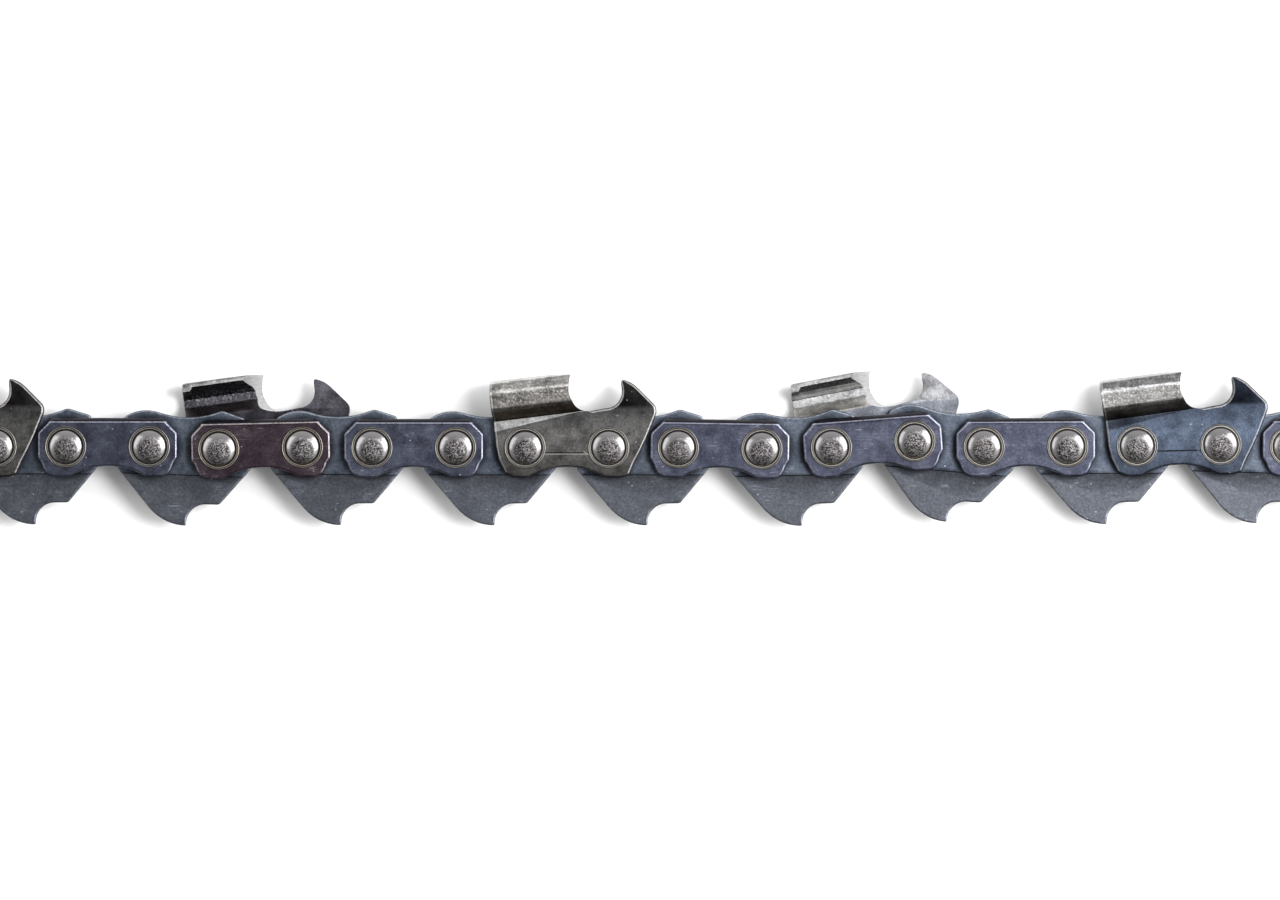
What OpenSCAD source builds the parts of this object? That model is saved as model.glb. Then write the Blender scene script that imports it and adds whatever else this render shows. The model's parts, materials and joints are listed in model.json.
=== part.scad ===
// A cut length of saw chain, laid on its side with its cutters up the page and its tangs down it.
// +X is the way the chain runs, +Y points out of the cut side and +Z runs along the rivets.
// The origin is the centre of the open hole in the first drive link.

/* [Chain] */
// Pitch, half the distance over three rivets in a row
pitch = 9.525; // [9.4:0.025:9.9]
// Distance between the two rivets of one side plate
strap_span = 10.4; // [10.2:0.05:10.8]
// Thickness of the tangs, which run in the groove of a guide bar
gauge = 1.5; // [1.3:0.05:1.6]
// Extra thickness on each face of a drive link above its tang
tang_step = 0.04; // [0.02:0.01:0.1]
// Side play between a drive link and the plate beside it
side_play = 0.05; // [0.03:0.01:0.1]

/* [Drive links] */
// Reach of a drive link past its hole
link_end = 3.97; // [3.7:0.01:4.1]
// Height of the round rear shoulder above the holes
hump_h = 4.53; // [4.3:0.01:4.8]
// Radius of the round rear shoulder
hump_r = 4.8; // [4.6:0.05:5.2]
// Place of the round shoulder past the rear hole
hump_x = 0.4; // [0.2:0.05:0.6]
// Height of the hollow between the two shoulders
saddle_h = 3.82; // [3.6:0.01:3.9]
// Radius of the hollow between the two shoulders
saddle_r = 11; // [9:0.5:13]
// Place of the pointed front shoulder past the front hole
peak_x = 0.18; // [0:0.02:0.5]
// Place of the front slope's lower end past the front hole
brow_x = 2.98; // [2.8:0.02:3.1]
// Height of the front slope's lower end above the holes
brow_h = 3.93; // [3.8:0.01:4]
// Height of the upright wall at each end
wall_top = 1.2; // [1:0.1:1.5]
// Depth at which the front wall turns in to the toe
front_low = 2.4; // [2.2:0.05:2.6]
// Depth at which the rear wall turns in to the belly
rear_low = 2.75; // [2.5:0.05:2.9]
// Depth of the tang's tip below the holes
tang_reach = 9.7; // [9.3:0.05:10.2]
// Place of the tang's tip ahead of the link's middle
tip_x = 0.55; // [0.2:0.05:0.9]
// Radius of the belly behind the tang's tip
belly_r = 6.3; // [5.8:0.1:6.8]
// Radius of the chip hook ahead of the tang's tip
hook_r = 2.35; // [2:0.05:2.6]
// Depth of the hook's roof below the holes
hook_roof = 6.95; // [6.8:0.01:7.2]
// Place of the toe ahead of the link's middle
toe_x = 4.54; // [4.3:0.02:5]
// Depth of the line where the tang starts
tang_line = 3.39; // [3.1:0.01:3.7]

/* [Side plates] */
// Thickness of straps and cutters
plate_t = 1.5; // [1.3:0.05:1.7]
// Gap between the ends of two straps in a row
end_gap = 1.65; // [1.5:0.05:1.9]
// Height of a strap above its rivets
strap_top = 3.58; // [3.4:0.02:3.7]
// Depth of the rail feet below the rivets
foot_drop = 3.72; // [3.5:0.02:3.9]
// Depth of the waist between the feet
waist_drop = 2.4; // [2.3:0.02:2.9]
// Place of a foot's inner end, back from its rivet
foot_back = 0.45; // [0.2:0.05:0.8]
// Place of a foot's outer end, past its rivet
foot_front = 1.7; // [1.4:0.05:1.9]
// Size of the corners cut off a strap's top
corner_cut = 1.85; // [1.5:0.05:2]
// Width of the bevel along a strap's top edge
top_bevel = 0.45; // [0.2:0.05:0.6]

/* [Rivets] */
// Radius of the hub that a drive link turns on
hub_r = 2.45; // [2.3:0.05:2.6]
// Running clearance between the hub and a drive link
hub_play = 0.05; // [0.03:0.01:0.08]
// Radius of the shank through a side plate
shank_r = 1.75; // [1.6:0.05:1.9]
// Clearance between the shank and a side plate
shank_play = 0.01; // [0.01:0.005:0.03]
// Radius of the peened dome
dome_r = 2; // [1.9:0.02:2.1]
// Radius of the thin skirt under the dome
skirt_r = 2.15; // [2.12:0.01:2.3]
// Thickness of the skirt
skirt_t = 0.14; // [0.08:0.02:0.2]
// Height of the dome above the skirt
dome_h = 0.5; // [0.3:0.02:0.6]
// Radius of the recess round a head
recess_r = 2.53; // [2.4:0.01:2.7]
// Depth of the recess round a head
recess_depth = 0.18; // [0.1:0.02:0.3]

/* [Cutters] */
// Height of the cutting edge above the rivets
cutting_h = 9.1; // [8.8:0.05:9.4]
// Distance from the chain's centre plane to the outer corner
half_kerf = 3.95; // [3.8:0.05:4.1]
// Slope of the top plate, lower at its heel
top_relief = 6.5; // [4:0.5:8]
// Taper of the side plate, narrower at its heel
side_relief = 1.3; // [0.5:0.1:2]
// Reach of the top plate past the chain's centre plane
overhang = 0.45; // [0.2:0.05:0.8]
// Thickness of the top plate where it meets the side plate
top_t = 1.25; // [1:0.05:1.4]
// Thickness of the top plate at its free edge
edge_t = 0.65; // [0.5:0.05:1]
// Rise of the top plate towards its free edge
top_rise = 0.25; // [0.1:0.05:0.4]
// Thickness of the upright side plate
side_t = 1.5; // [1.3:0.05:1.6]
// Height of the bevel between side plate and top plate
bevel_h = 1.2; // [0.9:0.05:1.4]
// Width of the bevel between side plate and top plate
bevel_w = 0.6; // [0.4:0.05:0.8]
// Height of the coined slope under the bend, at the heel
coin_h = 1.4; // [1:0.05:1.5]
// Depth of the coined slope at the heel, from where it fades towards the gullet
coin_depth = 0.48; // [0.3:0.02:0.6]
// Height of the bend above the rivets, under the middle of the top plate
bend_h = 3.75; // [3.6:0.05:4]
// Height of the outward slope above the bend
flare_h = 1.45; // [1.2:0.05:1.6]
// Place of the cutting corner ahead of the plate's middle
corner_x = 0.24; // [0:0.02:0.5]
// Distance from the heel back to the next rivet behind it
heel_gap = 4.22; // [4.1:0.01:4.4]
// Radius of the grinding wheel or file
file_r = 2.9; // [2.6:0.05:3.1]
// Angle of the filed face to a square cut
file_angle = 30; // [25:1:35]
// Height of the filed hollow's centre above the rivets
file_h = 7.45; // [7.3:0.05:7.6]
// Setting of the depth gauge below the cutting edge
depth_setting = 0.61; // [0.5:0.01:0.8]
// Inward lean of the depth gauge
gauge_lean = 12; // [6:1:16]
// Height of the depth gauge's bend above the rivets
gauge_bend = 4.95; // [4.8:0.05:5.2]
// Distance from the depth gauge's nose to the next rivet ahead of it
nose_gap = 2.7; // [2.55:0.01:2.8]
// Radius of the depth gauge's nose
nose_r = 1; // [0.7:0.1:1.2]
// Radius of the depth gauge's round back
crown_r = 3.6; // [3:0.1:4]
// Place of the depth gauge's tip ahead of the rivet under it
gauge_x = 1.61; // [1.5:0.01:1.7]
// Radius of the gullet between the tooth and the depth gauge
gullet_r = 2.05; // [1.9:0.05:2.2]
// Height of the gullet's centre above the rivets
gullet_h = 6.95; // [6.8:0.05:7.1]

/* [Hidden] */
$fn = 48;

// Angle of each link as it lies, drive links and side plates by turns
lay = [0, 0, 0, 0, -2, 1.3, -0.4, 0, 0, 0, 0, -0.9, 1.2, 4.4, -4.9, 0.3, 0.4, 1.1, -1.6, 0, 0];
station_count = (len(lay) - 1) / 2;
link_span = 2 * pitch - strap_span;
strap_half = strap_span / 2;
link_half = link_span / 2;
end_reach = (link_span - end_gap) / 2;
heel_reach = link_span - heel_gap;
nose_reach = link_span - nose_gap;
link_t = gauge + 2 * tang_step;
plate_in = link_t / 2 + side_play;
plate_out = plate_in + plate_t;
arc_step = 9;
cut_margin = 1;

steel_link = "#4a515d";
steel_strap = "#3f4052";
steel_brown = "#352b33";
steel_cutter = "#7c7a77";
steel_bright = "#b9b9bb";
steel_rivet = "#c9c6c0";

function two_digits(n) = str(n < 10 ? "0" : "", n);
function link_name(n) = str("drive_link_", two_digits(n));
function rivet_name(n) = str("rivet_", two_digits(n));
function right_is_cutter(n) = n % 4 == 1;
function left_is_cutter(n) = n % 4 == 3;
function right_name(n) = str(right_is_cutter(n) ? "right_cutter_" : "right_tie_strap_", two_digits(n));
function left_name(n) = str(left_is_cutter(n) ? "left_cutter_" : "left_tie_strap_", two_digits(n));

// Points along an arc, both ends included
function arc(centre, r, from, to) =
    let (n = max(2, ceil(abs(to - from) / arc_step)))
    [for (i = [0:n]) let (a = from + (to - from) * i / n) centre + r * [cos(a), sin(a)]];

// Angle at which the line from a point touches a circle, with the circle on the line's left
function touch_angle(point, centre, r) =
    let (d = point - centre, angle = atan2(d.y, d.x) + acos(r / norm(d)))
    angle < 0 ? angle + 360 : angle;

// Direction square to the common outer tangent of two circles, from the first to the second
function shared_normal(c1, r1, c2, r2) =
    let (d = c2 - c1)
    atan2(d.y, d.x) - acos((r1 - r2) / norm(d));

// Centre of rivet i, walking along the links from the open hole
function rivet_at(i) =
    i == 0 ? [0, 0]
    : rivet_at(i - 1) + (i % 2 == 1 ? link_span : strap_span) * [cos(lay[i - 1]), sin(lay[i - 1])];

module on_link(i) {
    middle = (rivet_at(i) + rivet_at(i + 1)) / 2;
    translate([middle.x, middle.y, 0])
    rotate([0, 0, lay[i]])
    children();
}

// Outline of a drive link, from the tip of its tang round by the hook and the two shoulders
module link_outline() {
    tip = [tip_x, -tang_reach];
    hook_dip = asin((tang_reach - hook_roof - hook_r) / hook_r);
    hook_centre = [tip_x + hook_r * cos(hook_dip), -hook_roof - hook_r];
    end_x = link_half + link_end;
    heel = [-end_x, -rear_low];
    hump_centre = [-link_half - hump_x, hump_h - hump_r];
    saddle_rise = saddle_h + saddle_r - hump_centre.y;
    saddle_x = hump_centre.x + sqrt(pow(saddle_r + hump_r, 2) - pow(saddle_rise, 2));
    saddle_centre = [saddle_x, saddle_h + saddle_r];
    peak_angle = -acos((link_half + peak_x - saddle_x) / saddle_r);
    blend_angle = atan2(saddle_rise, saddle_x - hump_centre.x);
    belly_centre = [tip_x, belly_r - tang_reach];
    belly_start = touch_angle(heel, belly_centre, belly_r);
    polygon(concat(
        arc(hook_centre, hook_r, 180 + hook_dip, 90),
        [[toe_x, -hook_roof], [end_x, -front_low], [end_x, wall_top], [link_half + brow_x, brow_h]],
        arc(saddle_centre, saddle_r, peak_angle, blend_angle - 180),
        arc(hump_centre, hump_r, blend_angle + arc_step / 2, 128),
        [[-end_x, wall_top], heel],
        arc(belly_centre, belly_r, belly_start, 268),
        [tip]
    ));
}

module drive_link(n) {
    milled = [4 * link_span, 2 * tang_reach, link_t];
    color(steel_link)
    on_link(2 * (n - 1))
    difference() {
        translate([0, 0, -link_t / 2]) linear_extrude(link_t) link_outline();
        for (face = [-1, 1])
            translate([0, -tang_line - milled.y / 2, face * (gauge + milled.z) / 2])
            cube(milled, center = true);
        for (end = [-link_half, link_half])
            translate([end, 0, 0])
            cylinder(r = hub_r + hub_play, h = link_t + 2 * cut_margin, center = true);
    }
}

// The hollow under a side plate, from one foot to the other, left to right
function arch() =
    let (
        half_width = strap_half - foot_back,
        rise = foot_drop - waist_drop,
        r = (half_width * half_width + rise * rise) / (2 * rise),
        reach = asin(half_width / r)
    )
    arc([0, -waist_drop - r], r, 90 + reach, 90 - reach);

// Right end of a strap, from its foot up to its top edge
function strap_end() = [
    [strap_half + foot_front, -foot_drop],
    [strap_half + end_reach - 1.15, -3.4],
    [strap_half + end_reach - 0.72, -2.8],
    [strap_half + end_reach - 0.45, -2],
    [strap_half + end_reach, -1.4],
    [strap_half + end_reach, strap_top - corner_cut],
    [strap_half + end_reach - corner_cut, strap_top]
];

function mirrored(points) = [for (i = [len(points) - 1:-1:0]) [-points[i].x, points[i].y]];

module strap_outline() {
    polygon(concat(arch(), strap_end(), mirrored(strap_end())));
}

// Holes for both rivet shanks and recesses for both heads
module rivet_seats() {
    for (end = [-strap_half, strap_half])
        translate([end, 0, plate_in - cut_margin])
        cylinder(r = shank_r + shank_play, h = plate_t + 2 * cut_margin);
    for (end = [-strap_half, strap_half])
        translate([end, 0, plate_out - recess_depth])
        cylinder(r = recess_r, h = 6);
}

module tie_strap() {
    bevel_depth = 1.3 * top_bevel;
    difference() {
        translate([0, 0, plate_in]) linear_extrude(plate_t) strap_outline();
        rivet_seats();
        translate([-strap_span, 0, 0])
        rotate([90, 0, 90])
        linear_extrude(2 * strap_span)
        polygon([
            [strap_top - 2 * top_bevel, plate_out + bevel_depth],
            [strap_top + top_bevel, plate_out - 2 * bevel_depth],
            [strap_top + top_bevel + cut_margin, plate_out + bevel_depth]
        ]);
    }
}

// Heel of a cutter, from above its top plate down to its rear foot
function cutter_heel() = [
    [-strap_half - heel_reach + 0.05, cutting_h + cut_margin],
    [-strap_half - heel_reach, 6.5],
    [-strap_half - heel_reach + 0.18, 4.7],
    [-strap_half - heel_reach + 0.53, 3],
    [-strap_half - heel_reach + 0.77, 0.15],
    [-strap_half - heel_reach + 1.13, -1.5],
    [-strap_half - heel_reach + 2, -3.25],
    [-strap_half - foot_front + 0.3, -foot_drop]
];

// Front of a cutter, from its front foot up to the depth gauge's nose
function cutter_front() = [
    [strap_half + foot_front - 0.2, -foot_drop],
    [strap_half + nose_reach - 3.45, -3.45],
    [strap_half + nose_reach - 2.75, -1.85],
    [strap_half + nose_reach - 1.98, -0.4],
    [strap_half + nose_reach - 1.11, 1.5],
    [strap_half + nose_reach - 0.03, 4.2]
];

gauge_tip = [strap_half + gauge_x, cutting_h - depth_setting];
gullet_centre = [gauge_tip.x + 0.02 - gullet_r, gullet_h];
face_x = gullet_centre.x - 2.4;

// Back of the depth gauge and floor of the gullet, from the gauge's tip back to the tooth
function gullet() = concat(
    [gauge_tip, gauge_tip - [0.1, 0.31]],
    arc(gullet_centre, gullet_r, 6, -90),
    [[face_x, file_h - file_r]]
);

// Round back of the depth gauge, from its nose up to its tip, where it is nearly level
function gauge_crown() =
    let (
        tip_fall = 9,
        nose = [strap_half + nose_reach - nose_r, gauge_bend - 0.25],
        crown = gauge_tip - crown_r * [sin(tip_fall), cos(tip_fall)],
        slope = shared_normal(nose, nose_r, crown, crown_r)
    )
    concat(arc(nose, nose_r, -8, slope), arc(crown, crown_r, slope, 90 - tip_fall - 1));

module cutter_outline() {
    polygon(concat(
        cutter_heel(),
        arch(),
        cutter_front(),
        gauge_crown(),
        gullet(),
        [[face_x, cutting_h + cut_margin]]
    ));
}

// Place on the centre line under the middle of the top plate, where bend_h is measured
plate_mid = (corner_x - strap_half - heel_reach) / 2;

// Height of the cutting edge above that place, square to the sloping top plate
top_h = (cutting_h - (corner_x - plate_mid) * tan(top_relief)) * cos(top_relief);

// Foot of the side plate, where the outward slope ends, in the same two measures as the section
flare_end = [bend_h + flare_h, half_kerf - 0.22];

// Place where the outward slope leaves the flat face below it
flare_start = let (steep = flare_h / (flare_end.y - plate_out + coin_depth))
    [bend_h + coin_depth * steep, plate_out];

// Height from which the tooth's section runs up, below the coined slope
stub_h = bend_h - coin_h - 0.8;

// Cross-section of the tooth: height from the rivets, then distance from the chain's centre plane
module tooth_section() {
    corner_h = top_h - bevel_h;
    side_in = half_kerf - side_t;
    polygon([
        [stub_h, plate_out],
        flare_start,
        flare_end,
        [corner_h, half_kerf],
        [top_h, half_kerf - bevel_w],
        [top_h + top_rise, -overhang],
        [top_h + top_rise - edge_t, -overhang],
        [top_h - top_t, side_in - 0.7],
        [top_h - top_t - 0.15, side_in - 0.25],
        [top_h - top_t - 0.6, side_in],
        [flare_end.x + 0.4, side_in - 0.12],
        [bend_h + 0.65, plate_in],
        [stub_h, plate_in]
    ]);
}

module along_tooth() {
    translate([plate_mid, 0, 0])
    rotate([0, 0, top_relief])
    rotate([90, 0, 90])
    children();
}

// Wedge struck out under the bend, deepest at the heel and gone before the gullet
module coined_slope() {
    length = corner_x + strap_half + heel_reach;
    foot = [bend_h - coin_h, plate_out];
    bend = [bend_h, plate_out - coin_depth];
    along_tooth()
    translate([0, 0, -length / 2])
    rotate([-atan(coin_depth / (length + 1)), 0, 0])
    translate([0, 0, -cut_margin])
    linear_extrude(length + 3)
    polygon([foot + 0.5 * (foot - bend), bend, flare_start, flare_start + [0, 2 * coin_depth]]);
}

// Cross-section of the plate where the depth gauge leans in, in the same two measures
module leaning_section() {
    rise = [cos(gauge_lean), -sin(gauge_lean)];
    outer_top = [gauge_bend, plate_out] + cutting_h * rise;
    polygon([
        [-pitch, plate_in],
        [-pitch, plate_out],
        [gauge_bend, plate_out],
        outer_top,
        outer_top - plate_t * [sin(gauge_lean), cos(gauge_lean)],
        [gauge_bend - plate_t * tan(gauge_lean / 2), plate_in]
    ]);
}

// The plate that carries the tooth, with its feet and its depth gauge
module cutter_foot() {
    foot_h = stub_h + 0.4;
    slope = tan(top_relief);
    intersection() {
        rotate([90, 0, 90]) linear_extrude(4 * strap_span, center = true) leaning_section();
        translate([0, 0, -cut_margin])
        linear_extrude(half_kerf + cut_margin)
        intersection() {
            cutter_outline();
            polygon([
                [-pitch - strap_span, -pitch],
                [pitch + strap_span, -pitch],
                [pitch + strap_span, pitch],
                [gullet_centre.x, pitch],
                [face_x, file_h - file_r],
                [face_x, foot_h + (face_x - plate_mid) * slope],
                [-pitch - strap_span, foot_h - (pitch + strap_span + plate_mid) * slope]
            ]);
        }
    }
}

module cutter_tooth() {
    intersection() {
        along_tooth() linear_extrude(2 * strap_span, center = true) tooth_section();
        translate([0, 0, -overhang - cut_margin])
        linear_extrude(half_kerf + overhang + 2 * cut_margin)
        intersection() {
            cutter_outline();
            translate([face_x - 2 * strap_span, 0]) square(2 * strap_span);
        }
    }
}

module cutter() {
    corner = corner_x + file_r / cos(file_angle);
    difference() {
        union() {
            cutter_foot();
            cutter_tooth();
        }
        rivet_seats();
        coined_slope();
        // The hollow that a round file leaves, its outer corner leading
        translate([corner, file_h, half_kerf])
        rotate([0, file_angle, 0])
        cylinder(r = file_r, h = 8 * file_r, center = true);
        // The taper of the side plate behind its corner
        translate([corner_x, 0, half_kerf])
        rotate([0, -side_relief, 0])
        translate([-2 * strap_span, 0, 0])
        cube([2 * strap_span, 2 * cutting_h, half_kerf]);
    }
}

module right_plate(n) {
    on_link(2 * n - 1)
    if (right_is_cutter(n)) color(steel_cutter) cutter();
    else color(left_is_cutter(n) && n < 5 ? steel_brown : steel_strap) tie_strap();
}

module left_plate(n) {
    on_link(2 * n - 1)
    mirror([0, 0, 1])
    if (left_is_cutter(n)) color(steel_bright) cutter();
    else color(steel_strap) tie_strap();
}

// Half of a rivet's profile: radius, then height from the middle of the hub
function half_rivet() =
    let (
        seat = plate_out - recess_depth,
        dome_base = seat + skirt_t
    )
    concat(
        [[hub_r, 0], [hub_r, plate_in], [shank_r, plate_in], [shank_r, seat], [skirt_r, seat]],
        [[skirt_r, dome_base]],
        [for (a = [90:-15:0]) [dome_r * sin(a), dome_base + dome_h * sqrt(cos(a))]]
    );

module rivet(n) {
    centre = rivet_at(n);
    color(steel_rivet)
    translate([centre.x, centre.y, 0])
    rotate_extrude()
    polygon(concat(
        half_rivet(),
        [for (i = [len(half_rivet()) - 1:-1:1]) [half_rivet()[i].x, -half_rivet()[i].y]]
    ));
}

for (n = [1:station_count + 1])
    drive_link(n);
for (n = [1:station_count])
    right_plate(n);
for (n = [1:station_count])
    left_plate(n);
for (n = [1:2 * station_count])
    rivet(n);
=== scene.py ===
"""A cut length of saw chain seen face on: rivets, drive links, tie straps and cutters, and the light they lie in."""
import json
import math

import bmesh
import bpy
import numpy as np
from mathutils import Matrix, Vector
from mathutils.geometry import delaunay_2d_cdt


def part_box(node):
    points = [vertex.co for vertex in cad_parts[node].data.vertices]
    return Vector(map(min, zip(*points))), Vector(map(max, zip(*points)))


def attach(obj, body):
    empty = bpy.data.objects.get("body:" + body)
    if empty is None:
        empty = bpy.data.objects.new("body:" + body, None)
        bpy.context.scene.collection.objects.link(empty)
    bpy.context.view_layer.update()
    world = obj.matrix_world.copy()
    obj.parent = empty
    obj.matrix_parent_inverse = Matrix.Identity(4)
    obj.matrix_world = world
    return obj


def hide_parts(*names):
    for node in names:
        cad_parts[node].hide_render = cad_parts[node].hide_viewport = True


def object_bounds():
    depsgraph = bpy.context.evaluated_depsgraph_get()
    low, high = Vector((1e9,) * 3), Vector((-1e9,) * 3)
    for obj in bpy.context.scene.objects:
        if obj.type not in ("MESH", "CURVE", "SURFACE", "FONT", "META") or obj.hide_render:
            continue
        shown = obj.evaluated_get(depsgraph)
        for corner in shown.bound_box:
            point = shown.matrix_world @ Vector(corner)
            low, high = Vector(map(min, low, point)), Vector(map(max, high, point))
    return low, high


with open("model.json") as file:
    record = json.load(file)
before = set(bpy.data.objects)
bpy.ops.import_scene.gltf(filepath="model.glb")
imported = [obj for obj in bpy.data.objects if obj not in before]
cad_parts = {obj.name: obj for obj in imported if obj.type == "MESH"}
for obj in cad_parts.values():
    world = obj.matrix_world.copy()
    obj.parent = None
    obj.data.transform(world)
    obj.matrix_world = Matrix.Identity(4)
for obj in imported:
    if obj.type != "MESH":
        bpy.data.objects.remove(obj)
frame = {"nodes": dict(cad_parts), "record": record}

cad_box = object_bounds()

# Rivets: hardened steel pins on which the whole chain turns. A thick hub in the middle runs in the drive link, a
# thin shank at each side holds a plate, and its end is spun over into a low bright dome with a thin skirt.
MM = 0.001
scene = bpy.context.scene
rivet_count = 20
station_count = rivet_count // 2
rivet_steps = 72
hub_r = 2.45
hub_chamfer = 0.08
shank_r = 1.75
dome_r = 2.0
dome_h = 0.5
dome_softness = 1.6
dent_depth = 0.02
dented_r = 1.7
skirt_r = 2.13
skirt_t = 0.14
recess_r = 2.53
recess_depth = 0.18
plate_in, plate_out = (corner.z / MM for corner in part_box("right_tie_strap_02"))
plate_t = plate_out - plate_in
mounts = {m["name"]: m["pos_m"] for m in frame["record"]["mounts"]}


def rivet_centre(i):
    """Centre of rivet i in millimetres, from its solid, or of the open hole before the first or after the last"""
    if i in (0, rivet_count + 1):
        return np.array(mounts["start_hole" if i == 0 else "end_hole"][:2]) / MM
    low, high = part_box(f"rivet_{i:02d}")
    return np.array(((low + high) / 2)[:2]) / MM


def quads(rows, columns, ring=False):
    """Corners of the quads of a grid of points kept row by row; a ring joins its last column to its first"""
    i, j = np.meshgrid(np.arange(rows - 1), np.arange(columns if ring else columns - 1), indexing="ij")
    here, below, beside = i * columns, (i + 1) * columns, (j + 1) % columns
    return np.stack([here + j, here + beside, below + beside, below + j], -1).reshape(-1, 4)


def turned(profile, steps):
    """A profile of radius and height carried round the z axis in even steps: rows follow the profile, columns the
    turn"""
    angle = np.linspace(0, 2 * np.pi, steps, endpoint=False)
    radius, height = np.asarray(profile, float).T
    return np.stack([np.outer(radius, np.cos(angle)), np.outer(radius, np.sin(angle)),
                     np.repeat(height[:, None], steps, 1)], -1)


def steel_mesh(name, own, laid, faces, finishes, **facts):
    """One closed mesh, smooth but for its sharp edges. own holds its points as the piece was made and laid where
    they lie, in millimetres; faces is a list of (corners, finish number); facts are values that a finish reads."""
    mesh = bpy.data.meshes.new(name)
    corners = [face for part, _ in faces for face in part.tolist()]
    mesh.from_pydata((laid * MM).tolist(), [], corners)
    mesh.attributes.new("own", "FLOAT_VECTOR", "POINT").data.foreach_set("vector", own.astype(np.float32).ravel())
    for key, values in facts.items():
        mesh.attributes.new(key, "FLOAT", "POINT").data.foreach_set("value", values.astype(np.float32))
    mesh.polygons.foreach_set("material_index", np.concatenate([np.full(len(part), n) for part, n in faces]))
    for finish in finishes:
        mesh.materials.append(finish)
    welded = bmesh.new()
    welded.from_mesh(mesh)
    weld_gap = 1e-3 * MM
    bmesh.ops.remove_doubles(welded, verts=welded.verts, dist=weld_gap)
    bmesh.ops.dissolve_degenerate(welded, edges=welded.edges, dist=weld_gap)
    bmesh.ops.recalc_face_normals(welded, faces=welded.faces)
    welded.to_mesh(mesh)
    welded.free()
    sharpest_smooth = math.radians(38)
    mesh.shade_smooth()
    mesh.set_sharp_from_angle(angle=sharpest_smooth)
    piece = bpy.data.objects.new(name, mesh)
    scene.collection.objects.link(piece)
    return piece


def linear(colour):
    """An sRGB hex colour as linear red, green, blue and alpha"""
    c = np.array([int(colour[k:k + 2], 16) for k in (1, 3, 5)]) / 255
    return (*np.where(c <= 0.04045, c / 12.92, ((c + 0.055) / 1.055) ** 2.4).tolist(), 1.0)


def add(tree, kind, inputs=(), stops=(), out=0, **settings):
    """One output of a new node of this kind with its settings. Each input is a value or the output that feeds it,
    and the stops of a ramp are pairs of place and hex colour."""
    node = tree.nodes.new(kind)
    for key, value in settings.items():
        setattr(node, key, value)
    for key, value in dict(inputs).items():
        if isinstance(value, bpy.types.NodeSocket):
            tree.links.new(value, node.inputs[key])
        else:
            node.inputs[key].default_value = value
    for n, (place, colour) in enumerate(stops):
        stop = node.color_ramp.elements[n] if n < 2 else node.color_ramp.elements.new(place)
        stop.position, stop.color = place, linear(colour)
    return node.outputs[out]


def finish(name):
    """An empty steel: its node tree, its shader, and its places in millimetres over the whole chain and on the
    piece itself"""
    material = bpy.data.materials.new(name)
    material.use_nodes = True
    tree = material.node_tree
    shader = tree.nodes["Principled BSDF"]
    shader.inputs["Metallic"].default_value = 1.0
    place = add(tree, "ShaderNodeTexCoord", out="Object")
    chain = add(tree, "ShaderNodeVectorMath", {0: place, "Scale": 1 / MM}, operation="SCALE")
    own = add(tree, "ShaderNodeAttribute", out="Vector", attribute_name="own")
    return material, tree, shader, chain, own


def peened_steel():
    """Bright hardened steel, spun over cold: smooth and mirror-like where the dome falls away, dark and pitted in
    the middle where the tool pressed, with painted shade, dark brown, round the dome's foot where it meets the
    skirt. The pits are 0.2 mm across, and their patch is moved a little below the rivet's centre, which paints
    shade on the dome's lower side."""
    material, tree, shader, chain, own = finish("peened_steel")
    pits_per_mm, pit_depth = 5.0, 0.08
    # The pitted patch is centred 0.42 mm below the rivet's centre, so that it paints shade on the dome's lower side.
    pits_lowered_for_shade, pressed_r, plain_r = (0.0, -0.42, 0.0), 1.35, 1.8
    pits = add(tree, "ShaderNodeTexNoise", {"Vector": chain, "Scale": pits_per_mm, "Detail": 4.0, "Roughness": 0.7})
    flat = add(tree, "ShaderNodeVectorMath", {0: own, 1: (1.0, 1.0, 0.0)}, operation="MULTIPLY")
    radius = add(tree, "ShaderNodeVectorMath", {0: flat}, out="Value", operation="LENGTH")
    pressed = add(tree, "ShaderNodeVectorMath", {0: flat, 1: pits_lowered_for_shade}, out="Value", operation="DISTANCE")
    ragged = add(tree, "ShaderNodeMath", {0: pits, 1: -1.1, 2: 0.55}, operation="MULTIPLY_ADD")
    ragged = add(tree, "ShaderNodeMath", {0: pressed, 1: ragged}, operation="ADD")
    middle = add(tree, "ShaderNodeMapRange", {0: ragged, 1: pressed_r, 2: plain_r, 3: 1.0, 4: 0.0})
    pitted = add(tree, "ShaderNodeValToRGB", {0: pits},
                 stops=[(0.38, "#12100e"), (0.49, "#3c3939"), (0.64, "#8e8b8c")])
    colour = add(tree, "ShaderNodeMix", {0: middle, 6: linear("#9b999a"), 7: pitted}, out=2, data_type="RGBA")
    # Painted shade: a dark brown ring round the dome's foot, where it meets the skirt.
    dome_foot_shade = add(tree, "ShaderNodeMapRange", {0: radius, 1: dome_r - 0.05, 2: dome_r})
    colour = add(tree, "ShaderNodeMix", {0: dome_foot_shade, 6: colour, 7: linear("#3d3833")}, out=2, data_type="RGBA")
    tree.links.new(colour, shader.inputs["Base Color"])
    rough = add(tree, "ShaderNodeMapRange", {0: middle, 3: 0.2, 4: 0.4})
    tree.links.new(rough, shader.inputs["Roughness"])
    depth = add(tree, "ShaderNodeMapRange", {0: middle, 3: 0.04, 4: 0.9})
    bump = add(tree, "ShaderNodeBump", {"Height": pits, "Distance": pit_depth * MM, "Strength": depth})
    tree.links.new(bump, shader.inputs["Normal"])
    return material


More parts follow.
